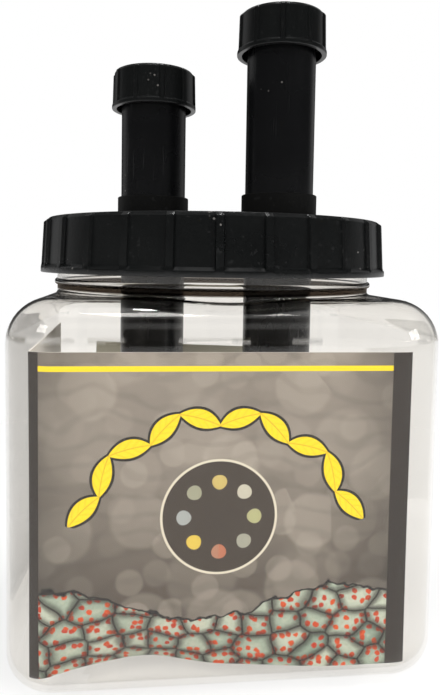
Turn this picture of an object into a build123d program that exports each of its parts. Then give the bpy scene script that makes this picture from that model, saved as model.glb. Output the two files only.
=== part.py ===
"""A clear square jar with a screw lid, through which two capped hide tubes slide."""

import os
from math import asin, cos, degrees, pi, radians, sin, sqrt

from build123d import *

# ---------------------------------------------------------------- driving sizes, in mm

# Jar: a blown square body with a wide round neck
jar_side = 135.0
jar_corner = 16.0
jar_wall = 0.8
heel_radius = 11.0
shoulder_radius = 14.0
shoulder_height = 119.5
floor_wall = 1.0
foot_arch_height = 1.0
foot_arch_width = 84.0
punt_radius = 30.0
punt_height = 2.5
neck_radius = 59.0
neck_wall = 1.4
bead_width = 2.2
bead_reach = 1.0
bead_drop = 2.2
mouth_overrun = 1.0

# Lid: a ribbed skirt with a flange at its bottom, and a flat roof
lid_wall = 3.6
lid_height = 19.6
lid_bottom_gap = 6.5
lid_roof = 2.0
lid_top_recess = 0.6
lid_top_rim = 5.6
lid_wall_play = 0.6
lid_flange_height = 1.9
lid_ledge_rise = 1.2
lid_rib_count = 27
lid_rib_width = 2.7
lid_rib_angle = -0.4
lid_panel_depth = 1.1
lid_rib_setback = 0.25
lid_taper = 0.85
lid_chamfer_drop = 1.3
lid_crown_inset = 3.0
gasket_thickness = 1.2
gasket_width = 6.0
gasket_play = 0.3

# How deep a rib or a thread's ridge starts in the wall that it stands on
rib_root_play = 0.1
thread_sink = 0.3

# Screw thread between the neck and the lid
lid_lead = 5.0
lid_turns = 1.25
lid_thread_height = 1.8
lid_thread_root = 2.4
lid_thread_crest = 1.2
lid_thread_drop = 1.1
lid_flank_gap = 0.35

# Hide tubes, side by side across the lid
tube_radius = 12.7
tube_wall = 1.3
tube_length = 188.0
tube_edge_round = 0.3
tube_spread = 25.9
tube_turn = -25.2
tube_left_bottom = 14.0
tube_right_bottom = 30.6

# Tube caps
cap_height = 14.5
cap_roof = 1.6
cap_wall = 1.8
cap_wall_play = 0.75
cap_flange_height = 1.5
cap_ledge_rise = 0.5
cap_rib_count = 10
cap_rib_width = 1.7
cap_left_rib_angle = 28.2
cap_right_rib_angle = 7.8
cap_panel_depth = 0.6
cap_rib_setback = 0.05
cap_taper = 0.3
cap_chamfer_drop = 1.0
cap_crown_inset = 1.55
liner_thickness = 1.0
liner_play = 0.35

# Screw thread between a tube's mouth and its cap
cap_lead = 3.0
cap_turns = 1.25
cap_thread_height = 1.3
cap_thread_root = 1.8
cap_thread_crest = 0.8
cap_thread_drop = 1.1
cap_flank_gap = 0.3

# Guides that carry the tubes in the lid, and the rubber rings that grip them
guide_wall = 1.28
guide_stand = 10.0
guide_bevel = 0.5
guide_flange_width = 3.5
guide_flange_height = 2.8
guide_boss_skin = 1.05
guide_boss_lip = 1.8
slide_gap = 0.05
seat_gap = 0.03
ring_section = 2.2
ring_play = 0.1

# Air holes in the lid's roof, with gauze below them
vent_edge_gap = 8.1
vent_hole_radius = 1.5
vent_pitch = 4.6
gauze_radius = 13.0
gauze_thickness = 0.4

# Printed card at the front wall and leaflet at the back wall
card_thickness = 0.4
card_wall_gap = 2.0
card_height = 97.3
card_left_wrap = 34.0
card_right_wrap = 15.8
card_flap_length = 95.0
card_flap_lean = 4.0
card_flap_bow = 0.4
leaflet_thickness = 0.4
leaflet_wall_gap = 1.6
leaflet_width = 98.0
leaflet_height = 80.0
leaflet_shift = -2.5
leaflet_tilt = 2.0
sheet_rest_gap = 0.5

# ---------------------------------------------------------------- places worked out from them

floor_height = floor_wall + foot_arch_height
lid_bottom = shoulder_height + lid_bottom_gap
lid_top = lid_bottom + lid_height
roof_underside = lid_top - lid_roof
neck_top = roof_underside - gasket_thickness
neck_bore = neck_radius - neck_wall
lid_bore = neck_radius + lid_thread_height + lid_wall_play
lid_radius = lid_bore + lid_wall
gasket_bore = lid_bore - gasket_play - gasket_width
vent_spread = gasket_bore - vent_edge_gap - gauze_radius
guide_bore = tube_radius + slide_gap
guide_radius = guide_bore + guide_wall
cap_bore = tube_radius + cap_thread_height + cap_wall_play
cap_radius = cap_bore + cap_wall
tube_bore = tube_radius - tube_wall
body_half = jar_side / 2


def across(turn):
    """The point at a tube's distance from the axis, in the direction turn degrees."""
    return (tube_spread * cos(radians(turn)), tube_spread * sin(radians(turn)))


right_centre = across(tube_turn)
left_centre = across(tube_turn + 180)


def screw_thread(root_radius, height, root, crest, bottom, lead, turns, outward):
    """A right-hand ridge of trapezoid section that climbs round the Z axis and stands on a wall."""
    side = 1 if outward else -1
    flare = (root - crest) / height * thread_sink / 2
    with BuildPart() as ridge:
        with BuildLine():
            Helix(lead, lead * turns, root_radius, center=(0, 0, bottom))
        with BuildSketch(Plane.XZ):
            with BuildLine():
                Polyline(
                    (root_radius - side * thread_sink, bottom - root / 2 - flare),
                    (root_radius + side * height, bottom - crest / 2),
                    (root_radius + side * height, bottom + crest / 2),
                    (root_radius - side * thread_sink, bottom + root / 2 + flare),
                    close=True,
                )
            make_face()
        sweep(is_frenet=True)
    return ridge.part


# ---------------------------------------------------------------- jar


def dome_under(height):
    """The punt's dome on a plinth of this height, to be cut from the base or left out of the hollow."""
    crown = height + punt_height
    dome_radius = (punt_radius**2 + punt_height**2) / (2 * punt_height)
    half_angle = degrees(asin(punt_radius / dome_radius))
    with BuildPart() as dome:
        with BuildSketch(Plane.XZ):
            with BuildLine():
                Polyline((0, crown), (0, 0), (punt_radius, 0), (punt_radius, height))
                CenterArc((0, crown - dome_radius), dome_radius, 90 - half_angle, half_angle)
            make_face()
        revolve(axis=Axis.Z)
    return dome.part


# The outer shape: the body with its round heel and shoulder, the neck and its bead
with BuildPart() as jar_outside:
    with BuildSketch():
        RectangleRounded(jar_side, jar_side, jar_corner)
    extrude(amount=shoulder_height)
    fillet(edges().group_by(Axis.Z)[0], heel_radius)
    fillet(edges().group_by(Axis.Z)[-1], shoulder_radius)
    with BuildSketch(Plane.XY.offset(shoulder_height - shoulder_radius)):
        Circle(neck_radius)
    extrude(amount=neck_top - shoulder_height + shoulder_radius)
    with BuildSketch(Plane.XZ):
        with Locations((neck_radius, lid_bottom - bead_drop - bead_width / 2)):
            Ellipse(bead_reach, bead_width / 2)
    revolve(axis=Axis.Z)
    # A low arch under each side leaves the jar standing on its four corners
    for side_plane in (Plane.XZ, Plane.YZ):
        with BuildSketch(side_plane):
            with BuildLine():
                ThreePointArc((-foot_arch_width / 2, 0), (0, foot_arch_height), (foot_arch_width / 2, 0))
                Line((foot_arch_width / 2, 0), (-foot_arch_width / 2, 0))
            make_face()
        extrude(amount=body_half, both=True, mode=Mode.SUBTRACT)
    # The punt, a shallow dome pushed up in the middle of the base
    add(dome_under(foot_arch_height), mode=Mode.SUBTRACT)

# The hollow: the same shape, smaller by the wall
with BuildPart() as jar_inside:
    with BuildSketch(Plane.XY.offset(floor_height)):
        RectangleRounded(jar_side - 2 * jar_wall, jar_side - 2 * jar_wall, jar_corner - jar_wall)
    extrude(amount=shoulder_height - jar_wall - floor_height)
    fillet(edges().group_by(Axis.Z)[0], heel_radius - jar_wall)
    fillet(edges().group_by(Axis.Z)[-1], shoulder_radius - jar_wall)
    with BuildSketch(Plane.XY.offset(shoulder_height - shoulder_radius)):
        Circle(neck_bore)
    extrude(amount=neck_top - shoulder_height + shoulder_radius + mouth_overrun)
    add(dome_under(floor_height), mode=Mode.SUBTRACT)

neck_thread_bottom = neck_top - lid_thread_drop - lid_thread_root / 2 - lid_lead * lid_turns
neck_thread = screw_thread(
    neck_radius,
    lid_thread_height,
    lid_thread_root,
    lid_thread_crest,
    neck_thread_bottom,
    lid_lead,
    lid_turns,
    True,
)

with BuildPart() as jar:
    add(jar_outside.part)
    add(jar_inside.part, mode=Mode.SUBTRACT)
    add(neck_thread)

# ---------------------------------------------------------------- lid


def ribbed_shell(radius, height, chamfer_drop, crown_inset, flange, ledge, inset, taper, bore, roof):
    """A cap turned about Z from z = 0 up, with its skirt's face inset from the flange."""
    foot = radius - inset
    head = foot - taper
    with BuildPart() as shell:
        with BuildSketch(Plane.XZ):
            with BuildLine():
                Polyline(
                    (bore, 0),
                    (radius, 0),
                    (radius, flange),
                    (foot, flange + ledge),
                    (head, height - chamfer_drop),
                    (radius - crown_inset, height),
                    (0, height),
                    (0, height - roof),
                    (bore, height - roof),
                    close=True,
                )
            make_face()
        revolve(axis=Axis.Z)
    return shell.part


def ribs_round(envelope, count, width, inner, outer, bottom, top, first_angle):
    """Upright ribs round a cap, cut to the outline that the envelope gives them."""
    with BuildPart() as ribs:
        with BuildSketch(Plane.XY.offset(bottom)):
            with PolarLocations((inner + outer) / 2, count, start_angle=first_angle):
                Rectangle(outer - inner, width)
        extrude(amount=top - bottom)
        add(envelope, mode=Mode.INTERSECT)
    return ribs.part


def screw_cap(size, rib_count, rib_width, rib_setback, panel_depth, first_angle, thread):
    """A ribbed screw cap that stands on z = 0: the shell, its ribs and its inside thread."""
    panels = ribbed_shell(inset=panel_depth + rib_setback, **size)
    rib_outline = ribbed_shell(inset=rib_setback, **size)
    # The ribs start half way up the flange, so that they grow out of it
    ribs = ribs_round(
        rib_outline,
        rib_count,
        rib_width,
        size["bore"] + rib_root_play,
        size["radius"],
        size["flange"] / 2,
        size["height"],
        first_angle,
    )
    with BuildPart() as cap:
        add(panels)
        add(ribs)
        add(thread)
    return cap.part


def mean_width(root, crest, height, reach):
    """A thread's width where the two threads meet, reach above its root."""
    return root - (root - crest) * reach / height


# The lid's thread hangs under the neck's, the flank gap below it when the lid is tight
lid_mesh = (lid_thread_height + lid_wall_play) / 2
lid_thread_width = mean_width(lid_thread_root, lid_thread_crest, lid_thread_height, lid_mesh)
lid_thread_offset = lid_thread_width + lid_flank_gap
lid_thread = screw_thread(
    lid_bore,
    lid_thread_height,
    lid_thread_root,
    lid_thread_crest,
    neck_thread_bottom - lid_thread_offset - lid_bottom,
    lid_lead,
    lid_turns,
    False,
)
lid_size = {
    "radius": lid_radius,
    "height": lid_height,
    "chamfer_drop": lid_chamfer_drop,
    "crown_inset": lid_crown_inset,
    "flange": lid_flange_height,
    "ledge": lid_ledge_rise,
    "taper": lid_taper,
    "bore": lid_bore,
    "roof": lid_roof,
}
lid_shell = screw_cap(
    lid_size, lid_rib_count, lid_rib_width, lid_rib_setback, lid_panel_depth, lid_rib_angle, lid_thread
)
vent_turns = (tube_turn + 90, tube_turn - 90)

with BuildPart() as lid:
    with Locations((0, 0, lid_bottom)):
        add(lid_shell)
    with BuildSketch(Plane.XY.offset(lid_top)):
        Circle(lid_radius - lid_crown_inset - lid_top_rim)
    extrude(amount=-lid_top_recess, mode=Mode.SUBTRACT)
    with Locations((*left_centre, lid_top), (*right_centre, lid_top)):
        Hole(guide_radius + seat_gap, depth=lid_roof)
    for vent_turn in vent_turns:
        vent_x = vent_spread * cos(radians(vent_turn))
        vent_y = vent_spread * sin(radians(vent_turn))
        with Locations((vent_x, vent_y, lid_top)):
            Hole(vent_hole_radius, depth=lid_roof)
            for ring_number in (1, 2):
                with PolarLocations(ring_number * vent_pitch, 6 * ring_number):
                    Hole(vent_hole_radius, depth=lid_roof)

with BuildPart() as lid_gasket:
    with BuildSketch(Plane.XY.offset(neck_top)):
        Circle(lid_bore - gasket_play)
        Circle(gasket_bore, mode=Mode.SUBTRACT)
    extrude(amount=gasket_thickness)

# ---------------------------------------------------------------- tubes and their caps

cap_thread_place = -cap_thread_drop - cap_thread_root / 2 - cap_lead * cap_turns
mouth_thread = screw_thread(
    tube_radius,
    cap_thread_height,
    cap_thread_root,
    cap_thread_crest,
    cap_thread_place,
    cap_lead,
    cap_turns,
    True,
)
mouth_to_top = liner_thickness + cap_roof
cap_mesh = (cap_bore - tube_radius) / 2
cap_thread_width = mean_width(cap_thread_root, cap_thread_crest, cap_thread_height, cap_mesh)
cap_thread_offset = cap_thread_width + cap_flank_gap
cap_inner_thread = screw_thread(
    cap_bore,
    cap_thread_height,
    cap_thread_root,
    cap_thread_crest,
    cap_height - mouth_to_top + cap_thread_place - cap_thread_offset,
    cap_lead,
    cap_turns,
    False,
)
cap_size = {
    "radius": cap_radius,
    "height": cap_height,
    "chamfer_drop": cap_chamfer_drop,
    "crown_inset": cap_crown_inset,
    "flange": cap_flange_height,
    "ledge": cap_ledge_rise,
    "taper": cap_taper,
    "bore": cap_bore,
    "roof": cap_roof,
}


def hide_tube(centre, bottom):
    """A tube open at both ends, with the cap's thread round its mouth."""
    with BuildPart() as tube:
        with BuildSketch(Plane.XY.offset(bottom)):
            with Locations(centre):
                Circle(tube_radius)
                Circle(tube_bore, mode=Mode.SUBTRACT)
        extrude(amount=tube_length)
        fillet(edges().group_by(Axis.Z)[0], tube_edge_round)
        fillet(edges().group_by(Axis.Z)[-1], tube_edge_round)
        with Locations((*centre, bottom + tube_length)):
            add(mouth_thread)
    return tube.part


def tube_cap(centre, tube_bottom, first_angle):
    """The screw cap on a tube's mouth."""
    shell = screw_cap(
        cap_size,
        cap_rib_count,
        cap_rib_width,
        cap_rib_setback,
        cap_panel_depth,
        first_angle,
        cap_inner_thread,
    )
    with BuildPart() as cap:
        with Locations((*centre, tube_bottom + tube_length + mouth_to_top - cap_height)):
            add(shell)
    return cap.part


def cap_liner(centre, tube_bottom):
    """The sealing disc between a tube's mouth and its cap's roof."""
    with BuildPart() as liner:
        with BuildSketch(Plane.XY.offset(tube_bottom + tube_length)):
            with Locations(centre):
                Circle(cap_bore - liner_play)
        extrude(amount=liner_thickness)
    return liner.part


# ---------------------------------------------------------------- guides, rings and gauze

groove_size = ring_section + 2 * ring_play
boss_radius = guide_bore + groove_size + guide_boss_skin
groove_bottom = roof_underside - guide_flange_height - guide_boss_lip - groove_size
boss_bottom = groove_bottom - guide_boss_lip


def tube_guide(centre):
    """A sleeve through the lid, with a flange and a grooved boss below the roof."""
    with BuildPart() as guide:
        with BuildSketch(Plane.XZ):
            with BuildLine():
                Polyline(
                    (guide_bore, boss_bottom),
                    (boss_radius, boss_bottom),
                    (boss_radius, roof_underside - guide_flange_height),
                    (guide_radius + guide_flange_width, roof_underside - guide_flange_height),
                    (guide_radius + guide_flange_width, roof_underside),
                    (guide_radius, roof_underside),
                    (guide_radius, lid_top + guide_stand - guide_bevel),
                    (guide_radius - guide_bevel, lid_top + guide_stand),
                    (guide_bore, lid_top + guide_stand),
                    (guide_bore, groove_bottom + groove_size),
                    (guide_bore + groove_size, groove_bottom + groove_size),
                    (guide_bore + groove_size, groove_bottom),
                    (guide_bore, groove_bottom),
                    close=True,
                )
            make_face()
        revolve(axis=Axis.Z)
    return guide.part.moved(Location((*centre, 0)))


def grip_ring(centre):
    """The rubber ring in a guide's groove, round the tube."""
    with BuildPart() as ring:
        with BuildSketch(Plane.XZ):
            with Locations((guide_bore + ring_section / 2, groove_bottom + groove_size / 2)):
                Circle(ring_section / 2)
        revolve(axis=Axis.Z)
    return ring.part.moved(Location((*centre, 0)))


def vent_gauze(turn):
    """A gauze disc welded under the air holes, with its mesh closed into a thin plate."""
    with BuildPart() as gauze:
        with BuildSketch(Plane.XY.offset(roof_underside - gauze_thickness)):
            with Locations((vent_spread * cos(radians(turn)), vent_spread * sin(radians(turn)))):
                Circle(gauze_radius)
        extrude(amount=gauze_thickness)
    return gauze.part


# ---------------------------------------------------------------- card and leaflet


def heel_level(wall_distance):
    """How high the jar's inner heel stands at this distance inside the wall."""
    inner_radius = heel_radius - jar_wall
    reach = max(0, inner_radius - wall_distance)
    return floor_height + inner_radius - sqrt(inner_radius**2 - reach**2)


card_half = body_half - jar_wall - card_wall_gap
card_corner = jar_corner - jar_wall - card_wall_gap
card_flat = body_half - jar_corner
card_bottom = heel_level(card_wall_gap - card_thickness / 2) + sheet_rest_gap


def corner_point(side, wrap):
    """A point of the card's line round a front corner, wrap degrees past the flat."""
    turn = radians(wrap)
    return (side * (card_flat + card_corner * sin(turn)), -card_flat - card_corner * cos(turn))


fold_point = corner_point(-1, card_left_wrap)
flap_end = (fold_point[0] - card_flap_lean, fold_point[1] + card_flap_length)
flap_middle = (
    fold_point[0] - card_flap_lean / 2 + card_flap_bow,
    fold_point[1] + card_flap_length / 2,
)

with BuildPart() as printed_card:
    with BuildSketch(Plane.XY.offset(card_bottom)):
        with BuildLine():
            Line(corner_point(-1, 0), corner_point(1, 0))
            ThreePointArc(
                corner_point(1, 0), corner_point(1, card_right_wrap / 2), corner_point(1, card_right_wrap)
            )
            ThreePointArc(corner_point(-1, 0), corner_point(-1, card_left_wrap / 2), fold_point)
            ThreePointArc(fold_point, flap_middle, flap_end)
        trace(line_width=card_thickness)
    extrude(amount=card_height)

# The leaflet leans to one side, and its lower corner rests on the heel
leaflet_rise = (
    leaflet_height * cos(radians(leaflet_tilt)) + leaflet_width * sin(radians(leaflet_tilt))
) / 2
leaflet_middle = heel_level(leaflet_wall_gap - leaflet_thickness / 2) + sheet_rest_gap + leaflet_rise
leaflet_plane = Plane((leaflet_shift, 0, leaflet_middle)).rotated((0, leaflet_tilt, 0))
with BuildPart() as leaflet:
    with BuildSketch(leaflet_plane):
        with Locations((0, body_half - jar_wall - leaflet_wall_gap)):
            Rectangle(leaflet_width, leaflet_thickness)
    extrude(amount=leaflet_height / 2, both=True)

# ---------------------------------------------------------------- the finished pieces

pieces = {
    "jar": jar.part,
    "printed_card": printed_card.part,
    "leaflet": leaflet.part,
    "lid": lid.part,
    "lid_gasket": lid_gasket.part,
    "vent_gauze_rear": vent_gauze(vent_turns[0]),
    "vent_gauze_front": vent_gauze(vent_turns[1]),
    "tube_guide_left": tube_guide(left_centre),
    "tube_guide_right": tube_guide(right_centre),
    "grip_ring_left": grip_ring(left_centre),
    "grip_ring_right": grip_ring(right_centre),
    "tube_left": hide_tube(left_centre, tube_left_bottom),
    "tube_right": hide_tube(right_centre, tube_right_bottom),
    "cap_left": tube_cap(left_centre, tube_left_bottom, cap_left_rib_angle),
    "cap_right": tube_cap(right_centre, tube_right_bottom, cap_right_rib_angle),
    "cap_liner_left": cap_liner(left_centre, tube_left_bottom),
    "cap_liner_right": cap_liner(right_centre, tube_right_bottom),
}

os.makedirs("parts", exist_ok=True)
for name, piece in pieces.items():
    piece.label = name
    export_step(piece, f"parts/{name}.step")
    top = piece.bounding_box().max.Z
    print(f"{name}: {len(piece.solids())} solid(s), {piece.volume / 1000:.2f} cm3, top at {top:.1f} mm")

print(f"tubes at {left_centre} and {right_centre}")
print(f"lid unscrews {360 * lid_turns:.0f} degrees and rises {lid_lead * lid_turns:.2f} mm")
print(f"a tube cap unscrews {360 * cap_turns:.0f} degrees and rises {cap_lead * cap_turns:.2f} mm")
print(f"lead per radian: lid {lid_lead / (2 * pi):.6f} mm, cap {cap_lead / (2 * pi):.6f} mm")
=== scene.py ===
import math

import bmesh
import bpy
import numpy as np
from mathutils import Matrix, Vector


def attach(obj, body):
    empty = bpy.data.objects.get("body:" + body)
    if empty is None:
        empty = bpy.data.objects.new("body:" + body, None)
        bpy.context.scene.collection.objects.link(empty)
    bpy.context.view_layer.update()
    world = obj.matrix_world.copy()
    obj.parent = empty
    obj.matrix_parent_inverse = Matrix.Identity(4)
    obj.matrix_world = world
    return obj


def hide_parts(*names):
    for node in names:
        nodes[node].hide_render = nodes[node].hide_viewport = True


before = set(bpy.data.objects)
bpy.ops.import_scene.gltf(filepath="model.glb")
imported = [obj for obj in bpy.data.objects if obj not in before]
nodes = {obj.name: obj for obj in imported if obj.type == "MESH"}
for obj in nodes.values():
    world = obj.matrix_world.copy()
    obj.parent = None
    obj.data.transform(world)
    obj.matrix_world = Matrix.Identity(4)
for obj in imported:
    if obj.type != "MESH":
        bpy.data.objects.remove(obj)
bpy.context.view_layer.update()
mm = 0.001

# shader helpers


def sign(operation, swapped=False):
    # an arithmetic sign between wires and numbers, as one Math node
    def act(self, *others):
        return self.pad.maths(operation, *((*others, self) if swapped else (self, *others)))

    return act


class Wire:
    # one output of a node; arithmetic on it adds Math nodes to the same material
    def __init__(self, pad, socket):
        self.pad, self.socket = pad, socket

    __add__ = __radd__ = sign("ADD")
    __mul__ = __rmul__ = sign("MULTIPLY")
    __sub__, __rsub__ = sign("SUBTRACT"), sign("SUBTRACT", swapped=True)
    __truediv__, __pow__ = sign("DIVIDE"), sign("POWER")
    __gt__, __abs__ = sign("GREATER_THAN"), sign("ABSOLUTE")


def socketNamed(sockets, name):
    # the first socket in use that has this name or identifier
    return next(socket for socket in sockets if socket.enabled and name in (socket.identifier, socket.name))


class Made:
    # a new node, whose outputs are read by name
    def __init__(self, pad, node):
        self.pad, self.node = pad, node

    def __getitem__(self, name):
        return Wire(self.pad, socketNamed(self.node.outputs, name))


class Pad:
    # the node tree of one material or world
    def __init__(self, owner):
        owner.use_nodes = True
        self.owner, self.tree = owner, owner.node_tree
        self.tree.nodes.clear()

    def add(self, kind, inputs=None, **settings):
        # a new node: its inputs by name or number, and its own settings
        node = self.tree.nodes.new("ShaderNode" + kind)
        for key, value in settings.items():
            setattr(node, key, value)
        for key, value in (inputs or {}).items():
            self.feed(node.inputs[key] if isinstance(key, int) else socketNamed(node.inputs, key), value)
        return Made(self, node)

    def feed(self, socket, value):
        if isinstance(value, str):
            value = fromHex(value)
        if isinstance(value, Wire):
            self.tree.links.new(value.socket, socket)
        elif isinstance(value, (tuple, list)) and len(socket.default_value) == 4 and len(value) == 3:
            socket.default_value = (*value, 1)
        else:
            socket.default_value = value

    def ramp(self, factor, stops):
        # a colour ramp with its stops as (place, hex code)
        made = self.add("ValToRGB", {"Fac": factor})
        elements = made.node.color_ramp.elements
        while len(elements) < len(stops):
            elements.new(0.5)
        for element, (place, code) in zip(elements, stops):
            element.position = place
            element.color = (*fromHex(code), 1)
        return made["Color"]

    def maths(self, operation, *values):
        return self.add("Math", dict(enumerate(values)), operation=operation)["Value"]

    def vector(self, operation, *values):
        return self.add("VectorMath", dict(enumerate(values)), operation=operation)["Vector"]

    def mix(self, factor, a, b, blend="MIX"):
        inputs = {"Factor_Float": factor, "A_Color": a, "B_Color": b}
        return self.add("Mix", inputs, data_type="RGBA", blend_type=blend)["Result_Color"]

    def blend(self, factor, first, second):
        return self.add("MixShader", {0: factor, 1: first, 2: second})["Shader"]

    def ease(self, value, low, high, start=0.0, end=1.0):
        # smooth step from start to end as value goes from low to high
        inputs = {"Value": value, "From Min": low, "From Max": high, "To Min": start, "To Max": end}
        return self.add("MapRange", inputs, interpolation_type="SMOOTHSTEP")["Result"]

    def fall(self, value, low, high):
        # smooth step from 1 to 0 as value goes from low to high
        return self.ease(value, low, high, 1.0, 0.0)

    def split(self, vector):
        return self.add("SeparateXYZ", {"Vector": vector})

    def length(self, x, y):
        return self.maths("SQRT", x * x + y * y)

    def place(self):
        return self.add("TexCoord")["Object"]

    def noise(self, vector, scale, detail=3.0, out=0):
        made = self.add("TexNoise", {"Vector": vector, "Scale": scale, "Detail": detail, "Roughness": 0.5})
        return Wire(self, made.node.outputs[out])

    def cells(self, vector, scale, feature="F1", randomness=1.0, dims="3D"):
        inputs = {"Vector": vector, "Scale": scale, "Randomness": randomness}
        return self.add("TexVoronoi", inputs, feature=feature, voronoi_dimensions=dims)

    def draws(self, cells):
        # the random numbers of each cell, as Red, Green and Blue
        return self.add("SeparateColor", {"Color": cells["Color"]})

    def bump(self, height, strength, distance):
        return self.add("Bump", {"Height": height, "Strength": strength, "Distance": distance})["Normal"]

    def surface(self, base, roughness, normal, gloss=0.5, metal=0.0):
        inputs = {"Base Color": base, "Roughness": roughness, "Normal": normal,
                  "Specular IOR Level": gloss, "Metallic": metal}
        return self.finish(self.add("BsdfPrincipled", inputs)["BSDF"])

    def finish(self, shader):
        kind = "OutputWorld" if isinstance(self.owner, bpy.types.World) else "OutputMaterial"
        self.add(kind, {"Surface": shader})
        return self.owner


def newPad(name):
    return Pad(bpy.data.materials.new(name))


def fromHex(code):
    # the linear colour of a hex code
    parts = [int(code[i:i + 2], 16) / 255 for i in (0, 2, 4)]
    return tuple(c / 12.92 if c <= 0.04045 else ((c + 0.055) / 1.055) ** 2.4 for c in parts)


# mesh helpers


def gridFaces(rows, cols, wrapRows=False, wrapCols=True):
    # quads between neighbouring points of a grid: (i, j), (i, j+1), (i+1, j+1), (i+1, j)
    i = np.arange(rows if wrapRows else rows - 1)[:, None]
    j = np.arange(cols if wrapCols else cols - 1)[None, :]
    i2, j2 = (i + 1) % rows, (j + 1) % cols
    return np.stack([i * cols + j, i * cols + j2, i2 * cols + j2, i2 * cols + j], -1).reshape(-1, 4)


def fanFaces(ring, centre):
    # triangles from a ring of points to one centre point
    return np.stack([np.roll(ring, -1), ring, np.full_like(ring, centre)], -1)


def outward(points, faces):
    # signed volume = sum of p0 . (p1 x p2) / 6 over the faces' triangles; a negative one is turned
    total = 0.0
    for quads in faces:
        a, b, c = points[quads[:, 0]], points[quads[:, 1]], points[quads[:, 2]]
        total += np.einsum("ij,ij->", a, np.cross(b, c))
        if quads.shape[1] == 4:
            d = points[quads[:, 3]]
            total += np.einsum("ij,ij->", a, np.cross(c, d))
    return faces if total > 0 else [quads[:, ::-1] for quads in faces]


def closedGrid(points, joined=False):
    # a grid of rings made a closed shell: its first and last ring are joined, or filled to their middles
    rows, cols, _ = points.shape
    flat = points.reshape(-1, 3)
    if joined:
        return flat, outward(flat, [gridFaces(rows, cols, wrapRows=True)])
    flat = np.vstack([flat, points[0].mean(0), points[-1].mean(0)])
    first, last = np.arange(cols), np.arange((rows - 1) * cols, rows * cols)
    fans = [fanFaces(first, rows * cols)[:, ::-1], fanFaces(last, rows * cols + 1)]
    return flat, outward(flat, [gridFaces(rows, cols), *fans])


def newObject(name, data):
    made = bpy.data.objects.new(name, data)
    bpy.context.scene.collection.objects.link(made)
    return made


def enter(name, mesh, body, stands):
    # a finished mesh becomes a piece that rides on a body and stands for CAD nodes
    piece = newObject(name, mesh)
    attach(piece, body)
    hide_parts(*stands)


def newMesh(name, points, faces, materials, sharp):
    # a smooth mesh from points in mm, with edges over the sharp angle kept crisp
    mesh = bpy.data.meshes.new(name)
    mesh.from_pydata((points * mm).tolist(), [], faces)
    mesh.shade_smooth()
    mesh.set_sharp_from_angle(angle=math.radians(sharp))
    for material in materials:
        mesh.materials.append(material)
    return mesh


def makePiece(name, shells, body, material, stands, sharp=35):
    # one object from closed shells in mm; its place is in its mesh
    points, faces = [], []
    start = 0
    for shellPoints, shellFaces in shells:
        points.append(shellPoints)
        faces += [face for quads in shellFaces for face in (quads + start).tolist()]
        start += len(shellPoints)
    enter(name, newMesh(name, np.vstack(points), faces, [material], sharp), body, stands)


def dress(node, material):
    # a CAD node keeps its shape and gets a finish
    nodes[node].data.materials.clear()
    nodes[node].data.materials.append(material)


def softPath(corners, cuts, steps=4, closed=False):
    # a polyline whose corners are rounded: the curve (1-t)^2 a + 2t(1-t) p + t^2 b, a and b a cut away from p
    p = np.asarray(corners, float)
    cuts = np.broadcast_to(np.asarray(cuts, float), len(p))
    before, after = np.roll(p, 1, 0) - p, np.roll(p, -1, 0) - p
    lengths = [np.linalg.norm(v, axis=1) for v in (before, after)]
    reach = np.minimum(cuts, 0.45 * np.minimum(*lengths))[:, None]
    a, b = p + before / lengths[0][:, None] * reach, p + after / lengths[1][:, None] * reach
    t = np.linspace(0, 1, steps + 1)[None, :, None]
    curve = (1 - t) ** 2 * a[:, None] + 2 * t * (1 - t) * p[:, None] + t ** 2 * b[:, None]
    if closed:
        return curve.reshape(-1, 2)
    return np.vstack([p[:1], curve[1:-1].reshape(-1, 2), p[-1:]])


def polar(r, a, z, centre=(0, 0)):
    # the points (r cos a + cx, r sin a + cy, z)
    x, y = r * np.cos(a) + centre[0], r * np.sin(a) + centre[1]
    return np.stack(np.broadcast_arrays(x, y, z), -1)


def turned(path, angles, centre=(0, 0)):
    # a surface of revolution from a path of (r, z)
    return polar(path[:, :1], angles, path[:, 1:], centre)


def evenAngles(count):
    return np.linspace(0, 2 * np.pi, count, endpoint=False)


def threadRidge(radius, height, root, crest, bottom, lead, turns, side, centre=(0, 0), perTurn=72):
    # a ridge on a helix: r = radius + side h, z = bottom + lead t / 2 pi, its height eased out over both ends
    count = int(perTurn * turns) + 1
    t = np.linspace(0, 2 * np.pi * turns, count)
    grow = np.clip(np.minimum(t, t[-1] - t) / 0.22, 0, 1)
    grow = grow * grow * (3 - 2 * grow)
    sink = 0.3
    flank = np.array([-sink, 0, height - 0.15, height])
    outer = np.concatenate([flank, flank[::-1]])
    half = np.array([root / 2, root / 2, crest / 2 + 0.1, crest / 2 - 0.1])
    across = np.concatenate([-half, half[::-1]])
    t, grow = t[:, None], grow[:, None]
    r = radius + side * (-sink + (outer + sink) * (0.02 + 0.98 * grow))
    z = bottom + lead * t / (2 * np.pi) + across * (0.35 + 0.65 * grow)
    return closedGrid(polar(r, t, z, centre))


def placeOf(turn, spread):
    # the point (spread cos turn, spread sin turn), the turn in degrees
    return spread * math.cos(math.radians(turn)), spread * math.sin(math.radians(turn))


print("scene: helpers ready")

# finishes of the black plastics


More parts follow.
